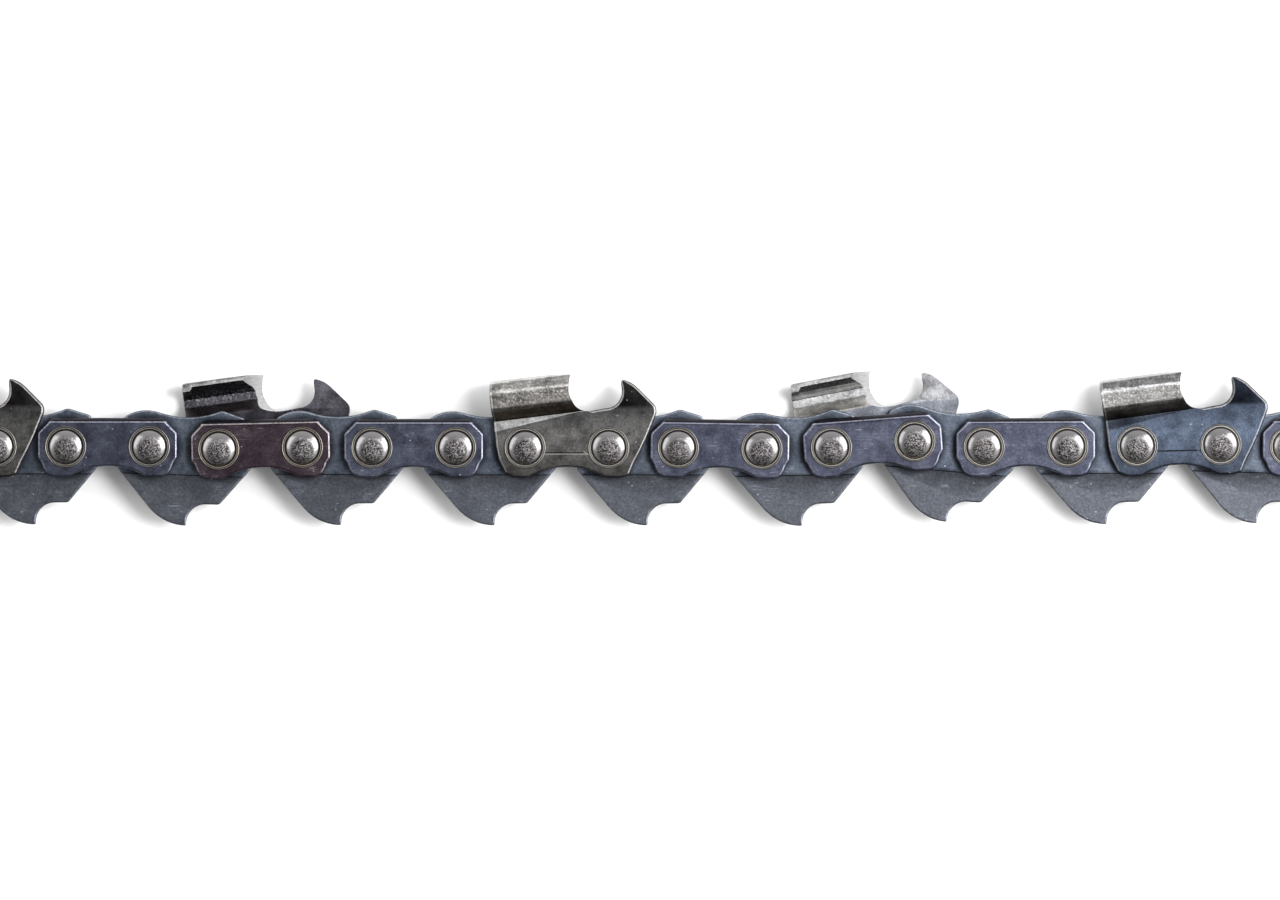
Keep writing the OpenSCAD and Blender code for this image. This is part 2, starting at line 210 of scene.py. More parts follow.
seat = plate_out - recess_depth
fall = np.radians(np.linspace(0, 90, 17))
dome = np.column_stack([dome_r * np.sin(fall), seat + skirt_t + dome_h * np.cos(fall) ** dome_softness])
skirt = [[skirt_r - 0.04, seat + skirt_t], [skirt_r, seat + 0.7 * skirt_t], [skirt_r, seat]]
shank = [[shank_r, seat], [shank_r, plate_in], [hub_r - hub_chamfer, plate_in], [hub_r, plate_in - hub_chamfer]]
upper = np.vstack([dome, skirt, shank])
rivet_profile = np.vstack([upper, upper[::-1] * [1, -1]])
rivet_steel = peened_steel()
for n in range(1, rivet_count + 1):
    own = turned(rivet_profile, rivet_steps)
    out = np.hypot(own[..., 0], own[..., 1])
    # Each rivet's dents are the same two waves, about 1.3 mm apart, moved on by its number.
    dents = np.sin(5.1 * own[..., 0] + 2.3 * n) * np.sin(4.3 * own[..., 1] + 1.1 * n)
    own[..., 2] += dent_depth * dents * np.clip(1 - out / dented_r, 0, 1) * np.sign(own[..., 2])
    own = own.reshape(-1, 3)
    piece = steel_mesh(f"rivet_{n:02d}_peened", own, own + [*rivet_centre(n), 0],
                       [(quads(len(rivet_profile), rivet_steps, ring=True), 0)], [rivet_steel])
    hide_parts(f"rivet_{n:02d}")
    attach(piece, f"station_{(n + 1) // 2:02d}")

# Drive links: flat links of hardened steel, one over each gap between two stations. The round-backed tang below runs
# in the bar's groove and ends in a hook that scoops out chips; two shoulders above carry the link between plates.
link_half = np.hypot(*(rivet_centre(1) - rivet_centre(0))) / 2
link_t = sum(corner.z * side / MM for corner, side in zip(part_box("drive_link_02"), (-1, 1)))
tang_t = link_t - 0.08
tang_line = -3.39
tang_step = 0.04
link_bore = 2.5
bore_chamfer = 0.1
bore_steps = 56
link_round = 0.18
punched_round = 0.26
burred_round = 0.07
outline_step = 0.14


def arc(centre, radius, start, end):
    """Points along an arc from one angle to the other, in degrees, about five to a millimetre"""
    count = max(3, int(abs(end - start) * radius / 12))
    a = np.radians(np.linspace(start, end, count))
    return np.column_stack([centre[0] + radius * np.cos(a), centre[1] + radius * np.sin(a)])


def punched(points, soft=0.16):
    """A closed outline, anticlockwise, stepped evenly and averaged over a short length, as a punch leaves it: each
    point is the mean of its neighbours, weighed by a bell curve that is soft millimetres wide"""
    loop = np.vstack([points, points[:1]])
    run = np.concatenate([[0], np.cumsum(np.hypot(*np.diff(loop, axis=0).T))])
    count = int(run[-1] / outline_step)
    at = np.linspace(0, run[-1], count, endpoint=False)
    line = np.interp(at, run, loop[:, 0]) + 1j * np.interp(at, run, loop[:, 1])
    keep = np.exp(-2 * (np.pi * soft * np.fft.fftfreq(count, run[-1] / count)) ** 2)
    line = np.fft.ifft(np.fft.fft(line) * keep)
    return np.column_stack([line.real, line.imag])


def inward(outline, closed=True):
    """Unit directions into an anticlockwise outline at each of its points"""
    step = np.roll(outline, -1, 0) - np.roll(outline, 1, 0) if closed else np.gradient(outline, axis=0)
    return np.column_stack([-step[:, 1], step[:, 0]]) / np.hypot(*step.T)[:, None]


def edge_profile(front, back, thick):
    """Inset and height down a punched edge: a rounding at the front face, the wall, a rounding at the back face.
    A narrow flat ring stands before each rounding, so that the faces stay flat up to it."""
    turn = np.linspace(0, np.pi / 2, 6)
    flat = 0.05
    fore, aft = 1 - np.sin(turn), 1 - np.sin(turn[::-1])
    inset = np.concatenate([[front + flat], front * fore, back * aft, [back + flat]])
    height = np.concatenate([[thick], thick - front * (1 - np.cos(turn)), back * (1 - np.cos(turn[::-1])), [0]])
    return inset, height / thick


def filled(loops, points, lines=()):
    """Triangles of the flat face between an outer loop and the holes in it, all loops of point numbers. lines are
    further pairs of points that an edge has to join."""
    every = np.concatenate(loops)
    place = {int(p): k for k, p in enumerate(every)}
    edges, first = [], 0
    for loop in loops:
        count = len(loop)
        edges += [(first + k, first + (k + 1) % count) for k in range(count)]
        first += count
    walls = np.array(edges)
    edges += [(place[int(a)], place[int(b)]) for a, b in lines]
    made = delaunay_2d_cdt([Vector(p) for p in points[every, :2].tolist()], edges, [], 0, 1e-7)
    back = np.array([origin[0] for origin in made[3]])
    faces = back[np.array(made[2])]
    flat = points[every, :2]
    middle = flat[faces].mean(1)
    a, b = flat[walls[:, 0]], flat[walls[:, 1]]
    over = (a[None, :, 1] > middle[:, None, 1]) != (b[None, :, 1] > middle[:, None, 1])
    with np.errstate(divide="ignore", invalid="ignore"):
        cross = a[:, 0] + (middle[:, 1:] - a[:, 1]) * (b[:, 0] - a[:, 0]) / (b[:, 1] - a[:, 1])
    inside = (over & (cross > middle[:, :1])).sum(1) % 2 == 1
    return every[faces[inside]]


def level_line(loop, points, height, upper):
    """Two points of a loop, at the far left and far right of a height, moved onto that height, to fold the face
    between them. They come from just above or from just below it."""
    lift = points[loop, 1] - height
    cut = np.flatnonzero((lift > 0) != (np.roll(lift, -1) > 0))
    after = (cut + 1) % len(loop)
    nearer = np.where((lift[cut] > lift[after]) == upper, cut, after)
    ends = np.asarray(loop)[nearer[np.argsort(points[np.asarray(loop)[nearer], 0])][[0, -1]]]
    points[ends, 1] = height
    return tuple(ends)


def room(outline, reach):
    """Share of an edge's rounding that fits at each point of an outline: less at a tight outer corner"""
    line = outline[:, 0] + 1j * outline[:, 1]
    step = np.roll(line, -1) - line
    turn = np.angle(step / np.roll(step, 1))
    share = np.clip(0.75 * np.abs(step) / (reach * np.clip(turn, 1e-4, None)), 0.3, 1)
    share = np.min([np.roll(share, k) for k in range(-3, 4)], 0)
    return np.mean([np.roll(share, k) for k in range(-2, 3)], 0)


def rubbed_and_highlit(outline, height, closed=True):
    """How bright a punched edge is painted, a row down the edge by the outline's points: up to 1 on the front
    rounding, and 0 on the face and down the wall. It is partly wear and partly a painted highlight: brightest on
    the upper corners, then the ends and the top, which face the lamps, and faint on the edge that rests on the bar."""
    line = np.clip((height - 0.955) / 0.02, 0, 1)
    line[0] = 0
    to_x, to_y = -inward(outline, closed).T
    return np.outer(line, np.clip(0.1 + 0.55 * np.abs(to_x) + 0.55 * to_y, 0, 1))


def punched_plate(outline, bores, front=punched_round, back=burred_round, folds=()):
    """A flat plate as points, faces and facts, its height from 0 at the back face to 1 at the front face. The
    outline's edge and each bore, a centre and a profile of radius, height and facts, are profiles carried round a
    path; the two faces are filled between them. The first fact is how bright an edge is painted, partly wear and
    partly painted highlight; the second is painted shade in bores and recesses; the third is a painted highlight
    round a recess."""
    inset, height = edge_profile(front, back, plate_t)
    rim = outline[None] + inset[:, None, None] * (inward(outline) * room(outline, inset[0])[:, None])[None]
    points = [np.dstack([rim, np.repeat(height[:, None], len(outline), 1)]).reshape(-1, 3)]
    worn_and_highlit = rubbed_and_highlit(outline, height).ravel()
    facts = [np.stack([worn_and_highlit, 0 * worn_and_highlit, 0 * worn_and_highlit])]
    faces = [quads(len(inset), len(outline), ring=True)]
    fronts, backs = [np.arange(len(outline))], [np.arange(len(outline)) + (len(inset) - 1) * len(outline)]
    first = len(points[0])
    for centre, profile in bores:
        wall = turned(profile[:, :2], bore_steps)
        points.append((wall + [*centre, 0]).reshape(-1, 3))
        facts.append(np.repeat(profile[:, 2:].T, bore_steps, 1))
        faces.append(quads(len(profile), bore_steps, ring=True) + first)
        fronts.append(np.arange(bore_steps) + first)
        backs.append(np.arange(bore_steps) + first + (len(profile) - 1) * bore_steps)
        first += wall[..., 0].size
    points = np.vstack(points)
    for loops in (fronts, backs):
        lines = [level_line(loops[0], points, fold, k == 0) for k, fold in enumerate(folds)]
        faces.append(filled(loops, points, lines))
    worn_and_highlit, painted_shade, ring = np.hstack(facts)
    return points, [(part, 0) for part in faces], {"worn_and_highlit": worn_and_highlit, "painted_shade": painted_shade, "ring": ring}


def lay(points, i, side=1):
    """Points of a piece taken from its own middle to where it lies, between rivet i and the next; side -1 turns it
    over to the chain's far face"""
    a, b = rivet_centre(i), rivet_centre(i + 1)
    along = (b - a) / np.hypot(*(b - a))
    upward = np.array([-along[1], along[0]])
    xy = (a + b) / 2 + points[:, :1] * along + points[:, 1:2] * upward
    return np.column_stack([xy, side * points[:, 2]])


def link_outline():
    """From the tang's tip round the chip hook, up the front, over both shoulders and down the belly"""
    tip = np.array([0.55, -9.7])
    hook_r, roof, toe = 2.35, -6.95, 4.54
    dip = math.degrees(math.asin((roof - tip[1] - hook_r) / hook_r))
    hook = (tip[0] + hook_r * math.cos(math.radians(dip)), roof - hook_r)
    end = link_half + 3.97
    hump = np.array([-link_half - 0.4, 4.53 - 4.8])
    saddle_r, hump_r, saddle_low = 11.0, 4.8, 3.82
    rise = saddle_low + saddle_r - hump[1]
    saddle = np.array([hump[0] + math.sqrt((saddle_r + hump_r) ** 2 - rise ** 2), saddle_low + saddle_r])
    peak = -math.degrees(math.acos((link_half + 0.18 - saddle[0]) / saddle_r))
    blend = math.degrees(math.atan2(rise, saddle[0] - hump[0]))
    belly_r = 6.3
    belly = np.array([tip[0], tip[1] + belly_r])
    heel = np.array([-end, -2.75])
    reach = heel - belly
    touch = math.degrees(math.atan2(reach[1], reach[0])) + math.degrees(math.acos(belly_r / np.hypot(*reach)))
    return np.vstack([
        arc(hook, hook_r, 180 + dip, 90), [[toe, roof], [end, -2.4], [end, 1.2], [link_half + 2.98, 3.93]],
        arc(saddle, saddle_r, peak, blend - 180), arc(hump, hump_r, blend, 128), [[-end, 1.2], heel],
        arc(belly, belly_r, touch % 360, 268), [tip],
    ])


def dusted(tree, chain, specks_per_mm, share):
    """How far specks of dust cover the steel: a round speck in the middle of every other cell of a cell pattern"""
    cell = add(tree, "ShaderNodeTexVoronoi", {"Vector": chain, "Scale": specks_per_mm})
    speck = add(tree, "ShaderNodeMapRange", {0: cell, 1: 0.045, 2: 0.09, 3: share, 4: 0.0})
    chosen = add(tree, "ShaderNodeMapRange", {0: cell.node.outputs["Color"], 1: 0.5, 2: 0.56})
    return add(tree, "ShaderNodeMath", {0: speck, 1: chosen}, operation="MULTIPLY")


def satin(tree, shader, skin, cloud, rough, relief_map, strength):
    """Gives a shader its colour, a roughness that varies a little with the clouds, and a relief 0.05 mm deep"""
    tree.links.new(skin, shader.inputs["Base Color"])
    dull = add(tree, "ShaderNodeMapRange", {0: cloud, 1: 0.3, 2: 0.7, 3: rough - 0.06, 4: rough + 0.1})
    tree.links.new(dull, shader.inputs["Roughness"])
    bump = add(tree, "ShaderNodeBump", {"Height": relief_map, "Strength": strength, "Distance": 0.05 * MM})
    tree.links.new(bump, shader.inputs["Normal"])


def tempered_steel(name, body, blotch, edge, rough=0.42, tang=None, struck=None):
    """Punched carbon steel, hardened and tempered in oil: a dark oxide skin with cloudy blotches and a fine grain,
    painted bright along its edges, partly as wear and partly as a painted highlight, with a few scratches and
    specks of dust, painted shade in its recesses and a painted highlight round them. A link takes the colour tang
    below its tang line, and a painted shadow of the side plates lies round its joints; struck is the height from
    which a strap's chamfer was struck, and that chamfer is painted dark as shade, with a painted highlight along
    its crease. The tumbled grain is drawn at 0.3 mm so that it shows."""
    material, tree, shader, chain, own = finish(name)
    clouds_per_mm, grains_per_mm, specks_per_mm = 0.42, 3.0, 0.9
    shaded_r, unshaded_r = 3.6, 4.35
    cloud, grain = (
        add(tree, "ShaderNodeTexNoise", {"Vector": chain, "Scale": per_mm, "Detail": 4.0, "Roughness": jagged})
        for per_mm, jagged in ((clouds_per_mm, 0.62), (grains_per_mm, 0.7)))
    height = add(tree, "ShaderNodeSeparateXYZ", {0: own}, out="Y")
    share = add(tree, "ShaderNodeMapRange", {0: cloud, 1: 0.36, 2: 0.64})
    skin = add(tree, "ShaderNodeMix", {0: share, 6: linear(body), 7: linear(blotch)}, out=2, data_type="RGBA")
    if tang:
        share = add(tree, "ShaderNodeMapRange", {0: height, 1: tang_line - 0.05, 2: tang_line, 3: 0.75, 4: 0.0})
        skin = add(tree, "ShaderNodeMix", {0: share, 6: skin, 7: linear(tang)}, out=2, data_type="RGBA")
    speck = add(tree, "ShaderNodeValToRGB", {0: grain}, stops=[(0.3, "#787878"), (0.5, "#c4c4c4"), (0.7, "#ffffff")])
    skin = add(tree, "ShaderNodeMix", {0: 0.6, 6: skin, 7: speck}, out=2, data_type="RGBA", blend_type="MULTIPLY")
    # Scratches run two ways, as thin lines where a stretched noise crosses one value.
    layers = []
    for turn, stretch in ((17, (0.1, 1.9, 0.1)), (-58, (0.13, 2.3, 0.1))):
        run = add(tree, "ShaderNodeMapping", {0: chain, "Rotation": (0, 0, math.radians(turn)), "Scale": stretch})
        hair = add(tree, "ShaderNodeTexNoise", {"Vector": run, "Scale": 1.0, "Detail": 1.0})
        line = add(tree, "ShaderNodeMath", {0: hair, 1: 0.56, 2: 0.004}, operation="COMPARE")
        share = add(tree, "ShaderNodeMapRange", {0: cloud, 1: 0.5, 2: 0.62, 3: 0.0, 4: 0.32})
        layers.append((add(tree, "ShaderNodeMath", {0: line, 1: share}, operation="MULTIPLY"), edge))
    layers.append((dusted(tree, chain, specks_per_mm, 0.55), "#b9bac0"))
    # A painted highlight: a bright line along the crease under a struck chamfer.
    if struck:
        line = add(tree, "ShaderNodeMath", {0: height, 1: struck - 0.07, 2: 0.07}, operation="COMPARE")
        share = add(tree, "ShaderNodeMapRange", {0: grain, 1: 0.3, 2: 0.55, 3: 0.15, 4: 0.75})
        layers.append((add(tree, "ShaderNodeMath", {0: line, 1: share}, operation="MULTIPLY"), edge))
    # A dark step marks the tang line, and a painted shadow of the side plates fades out round both joints.
    if tang:
        line = add(tree, "ShaderNodeMath", {0: height, 1: tang_line, 2: 0.055}, operation="COMPARE")
        layers.append((add(tree, "ShaderNodeMath", {0: line, 1: 0.9}, operation="MULTIPLY"), "#0e0f12"))
        folded = add(tree, "ShaderNodeVectorMath", {0: own}, operation="ABSOLUTE")
        flat = add(tree, "ShaderNodeVectorMath", {0: folded, 1: (1.0, 1.0, 0.0)}, operation="MULTIPLY")
        pin = add(tree, "ShaderNodeVectorMath", {0: flat, 1: (link_half, 0.0, 0.0)}, out="Value", operation="DISTANCE")
        layers.append((add(tree, "ShaderNodeMapRange", {0: pin, 1: shaded_r, 2: unshaded_r, 3: 0.8, 4: 0.0}), "#14151a"))
    worn_and_highlit, painted_shade, ring = (add(tree, "ShaderNodeAttribute", out="Fac", attribute_name=fact)
                         for fact in ("worn_and_highlit", "painted_shade", "ring"))
    # Edges are painted bright, partly as wear and partly as a painted highlight.
    share = add(tree, "ShaderNodeMapRange", {0: grain, 1: 0.35, 2: 0.55, 3: 0.2, 4: 0.7})
    layers.append((add(tree, "ShaderNodeMath", {0: worn_and_highlit, 1: share}, operation="MULTIPLY"), edge))
    # Painted shade: a strap's struck chamfer is darkened above its crease.
    if struck:
        layers.append((add(tree, "ShaderNodeMapRange", {0: height, 1: struck, 2: struck + 0.03}), "#1d1c22"))
    # Last come painted shade in recesses and bores, and a painted highlight round the rivets' recesses.
    for share, over in layers + [(painted_shade, "#121013"), (ring, "#b9b3a4")]:
        skin = add(tree, "ShaderNodeMix", {0: share, 6: skin, 7: linear(over)}, out=2, data_type="RGBA")
    satin(tree, shader, skin, cloud, rough, grain, 0.45)
    return material


link_steel = tempered_steel("slate_tempered_steel", "#464d58", "#5f6672", "#b0b7c1", tang="#56585e")
# Rows of a bore are radius, height, edge brightness (wear and painted highlight), painted shade and painted highlight
# ring.
bore_profile = np.array([[link_bore + 2 * bore_chamfer, 1, 0, 0, 0], [link_bore + bore_chamfer, 1, 1, 0, 0],
                         [link_bore, 0.93, 1, 0, 0], [link_bore, 0.9, 0, 0.3, 0], [link_bore, 0.07, 0, 0.3, 0],
                         [link_bore + bore_chamfer, 0, 1, 0, 0], [link_bore + 2 * bore_chamfer, 0, 0, 0, 0]])
link_bores = [((x, 0), bore_profile) for x in (-link_half, link_half)]
tang_top, tang_foot = tang_line + tang_step, tang_line - tang_step
link_points, link_faces, link_facts = punched_plate(punched(link_outline(), soft=0.2), link_bores, front=link_round,
                                                    back=link_round, folds=(tang_top, tang_foot))
thick = np.interp(link_points[:, 1], [tang_foot, tang_top], [tang_t, link_t])
link_points[:, 2] = (link_points[:, 2] - 0.5) * thick
for n in range(1, station_count + 2):
    piece = steel_mesh(f"drive_link_{n:02d}_punched", link_points, lay(link_points, 2 * n - 2), link_faces,
                       [link_steel], **link_facts)
    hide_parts(f"drive_link_{n:02d}")
    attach(piece, f"link_{n:02d}")

# Tie straps: plain side plates that join two links where no cutter sits. They are punched from the same strip as
# the cutters, with two feet that slide on the bar's rail and a chamfer struck along the top edge.
strap_half = np.hypot(*(rivet_centre(2) - rivet_centre(1))) / 2
foot_drop = 3.72
waist_drop = 2.4
arch_inset = 0.45
strap_top = 3.58
end_reach = 3.5
corner_cut = 1.85
top_bevel = 0.45
bevel_fall = 1.3


def arch():
    """The hollow between a side plate's two feet, from left to right"""
    half_width = strap_half - arch_inset
    rise = foot_drop - waist_drop
    radius = (half_width ** 2 + rise ** 2) / (2 * rise)
    reach = math.degrees(math.asin(half_width / radius))
    return arc((0, -waist_drop - radius), radius, 90 + reach, 90 - reach)


def strap_outline():
    """The arch, then one end from its foot up to the top, then the same end mirrored"""
    end_x = strap_half + end_reach
    end = np.array([[strap_half + 1.7, -foot_drop], [end_x - 1.15, -3.4], [end_x - 0.72, -2.8],
                    [end_x - 0.45, -2.0], [end_x, -1.4], [end_x, strap_top - corner_cut],
                    [end_x - corner_cut, strap_top]])
    return np.vstack([arch(), end, end[::-1] * [-1, 1]])


def rivet_seats():
    """Bores for both rivets of a side plate: a low lip thrown up round the recess, with a painted highlight on its
    crest, the floor with painted shade and a ring painted bright as a highlight, and the hole for the shank. Rows
    are radius, height, edge brightness (wear and painted highlight), painted shade and painted highlight ring."""
    floor = 1 - recess_depth / plate_t
    profile = np.array([
        [recess_r + 0.2, 1, 0, 0, 0], [recess_r + 0.06, 1, 0, 0.3, 0], [recess_r, 1 + 0.01 / plate_t, 0, 0.5, 0],
        [recess_r - 0.04, 1 + 0.03 / plate_t, 0, 0, 1], [recess_r - 0.09, 1 - 0.01 / plate_t, 0, 0, 1],
        [recess_r - 0.12, 1 - 0.06 / plate_t, 0, 0.8, 0], [recess_r - 0.17, floor, 0, 0.8, 0],
        [recess_r - 0.22, floor, 0, 0.3, 0.4], [recess_r - 0.27, floor, 0, 0.3, 0.4],
        [recess_r - 0.31, floor, 0, 0.7, 0], [shank_r + 0.06, floor, 0, 0.95, 0],
        [shank_r + 0.01, floor - 0.05, 0, 0.9, 0], [shank_r + 0.01, 0.05, 0, 0.5, 0],
        [shank_r + 0.07, 0, 0, 0, 0], [shank_r + 0.15, 0, 0, 0, 0]])
    return [((x, 0), profile) for x in (-strap_half, strap_half)]


struck_from = strap_top - top_bevel
blued = tempered_steel("blued_tempered_steel", "#3b3d4a", "#525564", "#b6b8ca", rough=0.4, struck=struck_from)
browned = tempered_steel("browned_tempered_steel", "#372d34", "#463c43", "#cfc7cb", rough=0.4, struck=struck_from)
strap_points, strap_faces, strap_facts = punched_plate(punched(strap_outline()), rivet_seats(), folds=(struck_from,))
struck = plate_out - bevel_fall * np.clip(strap_points[:, 1] - strap_top + top_bevel, 0, None)
strap_points[:, 2] = plate_in + strap_points[:, 2] * (struck - plate_in)
for n in range(1, station_count + 1):
    for side, hand in ((1, "right"), (-1, "left")):
        node = f"{hand}_tie_strap_{n:02d}"
        if node not in frame["nodes"]:
            continue
        brown = node == "right_tie_strap_03"
        piece = steel_mesh(f"{node}_punched", strap_points, lay(strap_points, 2 * n - 1, side), strap_faces,
                           [browned if brown else blued], **strap_facts)
        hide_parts(node)
        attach(piece, f"station_{n:02d}")

# Cutters: side plates that carry the tooth and the depth gauge. The blank is punched, struck with a slope under the
# tooth, and bent out and over into a side plate and a top plate; its front is hollowed by a round file or wheel.
cutting_h = 9.1
gauge_drop = 0.61
gauge_folds = (4.8, 5.0, 5.2)
gauge_lean = math.radians(12)
half_kerf = 3.95
corner_x = 0.24
heel_reach = 4.43
file_r = 2.9
file_h = 7.45
file_lean = math.tan(math.radians(30))
file_wide = 1 / math.cos(math.radians(30))
top_t = 1.25
edge_t = 0.65
top_rise = 0.25
block_long = 0.95
relief = math.radians(6.5)
side_relief = math.tan(math.radians(1.3))
plate_mid = (corner_x - strap_half - heel_reach) / 2
top_h = (cutting_h - (corner_x - plate_mid) * math.tan(relief)) * math.cos(relief)
heel_x = -strap_half - heel_reach
heel_line = np.array([[-strap_half - 1.4, -foot_drop], [heel_x + 2, -3.25], [heel_x + 1.13, -1.5],
                      [heel_x + 0.77, 0.15], [heel_x + 0.53, 3.0], [heel_x + 0.18, 4.7], [heel_x, 6.5],
                      [heel_x + 0.05, 10.0]])


def filed_x(y, z):
    """How far forward the tooth reaches at a height and a distance from the centre plane: the near side of a round
    file that lies across the tooth, leaning back towards the middle"""
    rise = np.clip(1 - ((y - file_h) / file_r) ** 2, 0, 1)
    return corner_x + file_r * file_wide * (1 - np.sqrt(rise)) - (half_kerf - z) * file_lean


def tooth_path():
    """Outer and inner face of the bent plate at stations from the flat plate over the slope, the bend, the side
    plate and the corner to the top plate's free edge. A row's first two numbers are height and distance from the
    centre plane. The next two are what the slope adds to them at the heel, and the last is what the thick heel end
    of the edge adds to the height. Each path is then stepped between the rows and averaged twice."""
    bend, flare, out, wall_in = 3.75, 5.2, plate_out, half_kerf - 1.5
    outer = np.array([[bend - 0.04, out, -1.4, 0, 0], [bend, out, -1.4, 0, 0], [bend, out, 0, -0.48, 0],
                      [bend + 0.5, out + 0.64, 0, -0.31, 0], [flare, half_kerf - 0.22, 0, 0, 0],
                      [top_h - 1.2, half_kerf, 0, 0, 0], [top_h, half_kerf - 0.6, 0, 0, 0],
                      [top_h + top_rise, -0.33, 0, 0, 0], [top_h + top_rise - 0.12, -0.45, 0, 0, 0]])
    under = top_h + top_rise - edge_t
    inner = np.array([[bend - 0.04, plate_in, -1.4, 0, 0], [bend, plate_in, -1.4, 0, 0],
                      [bend + 0.3, plate_in, 0, 0, 0], [bend + 0.65, plate_in, 0, 0, 0],
                      [flare + 0.4, wall_in - 0.12, 0, 0, 0], [top_h - top_t - 0.6, wall_in, 0, 0, 0],
                      [top_h - top_t - 0.05, wall_in - 0.5, 0, 0, -0.1], [under, -0.33, 0, 0, -0.5],
                      [under + 0.1, -0.45, 0, 0, -0.5]])
    steps = [2, 8, 6, 8, 16, 8, 18, 3]
    key = np.arange(len(outer))
    at = np.concatenate([np.linspace(k, k + 1, n, endpoint=False) for k, n in enumerate(steps)] + [[len(steps)]])
    paths = []
    for line in (outer, inner):
        path = np.column_stack([np.interp(at, key, line[:, c]) for c in range(5)])
        for _ in range(2):
            path[1:-1] = (path[:-2] + 2 * path[1:-1] + path[2:]) / 4
        paths.append(path)
    return paths[0], paths[1], at


def tooth_surface(inset, height):
    """The tooth as four grids of points: its outer and its inner face, and across its plate at the front and at the
    heel. Each point's height follows the relief slope and its place along the chain follows the heel's line or the
    file. The free edge is thick for its last millimetre at the heel, where the die didn't thin it."""
    outer, inner, zone = tooth_path()
    columns = 56
    rounds = 40

    def solve(path_a, path_b, w, ahead, gap):
        """Points between two faces (w is 1 on the outer one), a share ahead of the way from heel to file. Place and
        height depend on each other, so they are worked out in rounds that each go half of the way left."""
        x = np.full(np.broadcast(path_a[:, :1], ahead).shape, plate_mid)
        for _ in range(rounds):
            from_heel = x + strap_half + heel_reach
            fade = np.clip(1 - from_heel / (corner_x + strap_half + heel_reach + 1), 0, 1)
            block = np.clip(1 - (from_heel - block_long) / 0.2, 0, 1)
            mix = [path_b[:, k:k + 1] + w * (path_a[:, k:k + 1] - path_b[:, k:k + 1]) for k in range(5)]
            v, z = mix[0] + fade * mix[2] + block * mix[4], mix[1] + fade * mix[3]
            z = np.minimum(z, half_kerf - np.clip(corner_x - x, 0, None) * side_relief)
            y = v / math.cos(relief) + (x - plate_mid) * math.tan(relief)
            heel = np.interp(y, heel_line[:, 1], heel_line[:, 0]) + gap
            x = 0.5 * x + 0.5 * (heel + ahead * (filed_x(y, z) - heel))
        return np.stack([x, y, z], -1)

    share = np.linspace(0, 1, columns)[None]
    faces = [solve(outer, inner, w, share, gap) for w, gap in ((1.0, inset[0]), (0.0, inset[-1]))]
    front = solve(outer, inner, height[None], np.ones((1, len(height))), 0.0)
    heel = solve(outer, inner, height[None], np.zeros((1, len(height))), inset[None])
    return faces[0], faces[1], front, heel, zone


def cutter_outline(heel_end, front_end):
    """The punched part of the cutter's edge, from the heel down round both feet and up over the depth gauge to the
    floor of the gullet, anticlockwise"""
    tip = np.array([strap_half + 1.61, cutting_h - gauge_drop])
    gullet = (strap_half - 0.42, 6.95)
    nose, nose_r = np.array([strap_half + 4.95, 4.7]), 1.0
    crown_r, tip_fall = 3.6, math.radians(9)
    crown = tip - crown_r * np.array([math.sin(tip_fall), math.cos(tip_fall)])
    gap = crown - nose
    slope = math.degrees(math.atan2(gap[1], gap[0])) - math.degrees(math.acos((nose_r - crown_r) / np.hypot(*gap)))
    heel = heel_line[heel_line[:, 1] < heel_end[1]][::-1]
    front = np.array([[strap_half + 1.5, -foot_drop], [strap_half + 2.5, -3.45], [strap_half + 3.2, -1.85],
                      [strap_half + 3.97, -0.4], [strap_half + 4.84, 1.5], [strap_half + 5.92, 4.2]])
    line = np.vstack([
        [heel_end], heel, arch(), front, arc(nose, nose_r, -8, slope), arc(crown, crown_r, slope, 80),
        [tip, tip - [0.1, 0.31]], arc(gullet, 2.05, 6, -90),
        [[4.0, 4.76], [3.2, 4.6], [2.75, 4.555]], [front_end],
    ])
    run = np.concatenate([[0], np.cumsum(np.hypot(*np.diff(line, axis=0).T))])
    at = np.linspace(0, run[-1], int(run[-1] / outline_step))
    even = np.column_stack([np.interp(at, run, line[:, k]) for k in (0, 1)])
    for _ in range(2):
        even[1:-1] = (even[:-2] + 2 * even[1:-1] + even[2:]) / 4
    return even


